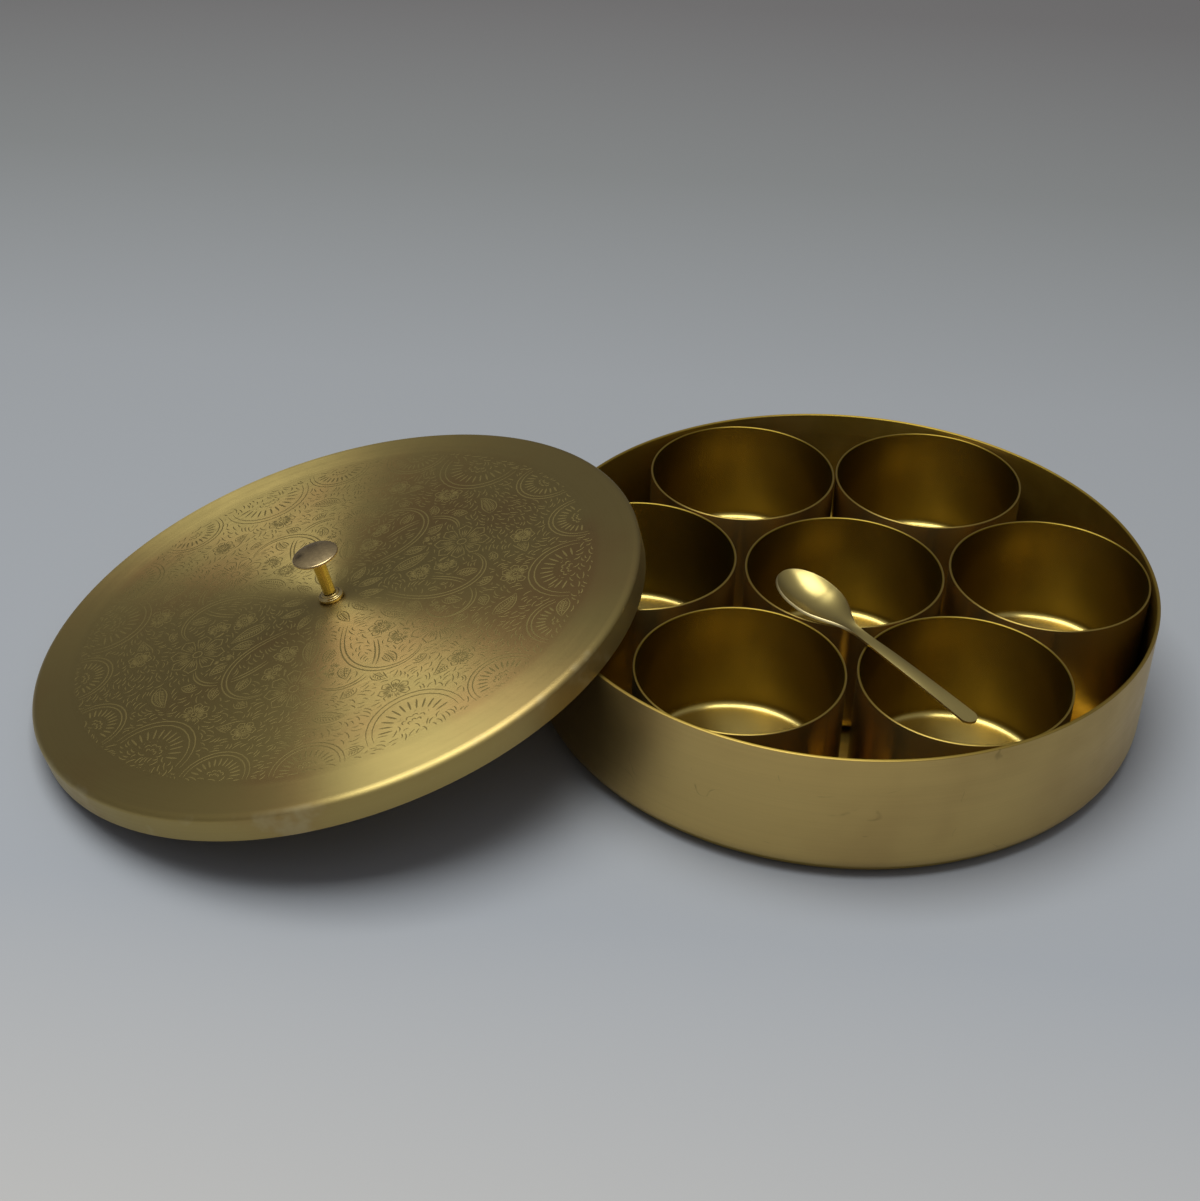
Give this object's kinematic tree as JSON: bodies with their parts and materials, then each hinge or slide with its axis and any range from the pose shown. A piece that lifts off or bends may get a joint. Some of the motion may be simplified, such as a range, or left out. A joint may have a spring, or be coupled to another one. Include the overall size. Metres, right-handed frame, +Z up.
{
  "type": "spice box",
  "caption": "Round brass spice box: a shallow pan of loose straight-sided cups, a domed engraved lid with a riveted knob leaning on its rim, and a small spoon.",
  "frame": {"origin": "on the pan's axis, at the middle of its flat underside, on the surface that it stands on", "axes": "+Z up along the pan's axis; -X points to the lid that leans on the rim; -Y to the front, where the spoon's handle points forward and right"},
  "size_m": [0.3677, 0.2345, 0.0594],
  "materials": {
    "pan_brass": "brushed, satin",
    "cup_brass": "brushed inside, polished floor",
    "lid_brass": "spun, finely brushed in rings, engraved",
    "knob_brass": "polished",
    "knob_metal": "worn nickel plate",
    "washer_brass": "plain",
    "spoon_brass": "satin"
  },
  "bodies": {
    "pan": {"box_pan": "pan_brass"},
    "lid": {"lid_pan": "lid_brass", "knob_rivet": "knob_metal", "knob_collar": "knob_brass", "knob_sleeve": "knob_brass", "knob_washer": "washer_brass"},
    "cup_right": {"cup_right": "cup_brass"},
    "cup_back_right": {"cup_back_right": "cup_brass"},
    "cup_back_left": {"cup_back_left": "cup_brass"},
    "cup_left": {"cup_left": "cup_brass"},
    "cup_front_left": {"cup_front_left": "cup_brass"},
    "cup_front_right": {"cup_front_right": "cup_brass"},
    "cup_centre": {"cup_centre": "cup_brass"},
    "spoon": {"spoon": "spoon_brass"}
  },
  "joints": [
    {"name": "lid_lift", "type": "slide", "parent": "pan", "child": "lid", "axis": [0, 0, 1], "range_m": [0, 0.12]},
    {"name": "cup_right_lift", "type": "slide", "parent": "pan", "child": "cup_right", "axis": [0, 0, 1], "range_m": [0, 0.06]},
    {"name": "cup_back_right_lift", "type": "slide", "parent": "pan", "child": "cup_back_right", "axis": [0, 0, 1], "range_m": [0, 0.06]},
    {"name": "cup_back_left_lift", "type": "slide", "parent": "pan", "child": "cup_back_left", "axis": [0, 0, 1], "range_m": [0, 0.06]},
    {"name": "cup_left_lift", "type": "slide", "parent": "pan", "child": "cup_left", "axis": [0, 0, 1], "range_m": [0, 0.06]},
    {"name": "cup_front_left_lift", "type": "slide", "parent": "pan", "child": "cup_front_left", "axis": [0, 0, 1], "range_m": [0, 0.06]},
    {"name": "cup_front_right_lift", "type": "slide", "parent": "pan", "child": "cup_front_right", "axis": [0, 0, 1], "range_m": [0, 0.06]},
    {"name": "cup_centre_lift", "type": "slide", "parent": "pan", "child": "cup_centre", "axis": [0, 0, 1], "range_m": [0, 0.06]},
    {"name": "spoon_lift", "type": "slide", "parent": "cup_front_right", "child": "spoon", "axis": [0, 0, 1], "range_m": [0, 0.12]}
  ],
  "couplings": [
    {"joint": "cup_left_lift", "follows": "lid_lift", "ratio": 0.5},
    {"joint": "cup_centre_lift", "follows": "spoon_lift", "ratio": 0.5}
  ]
}
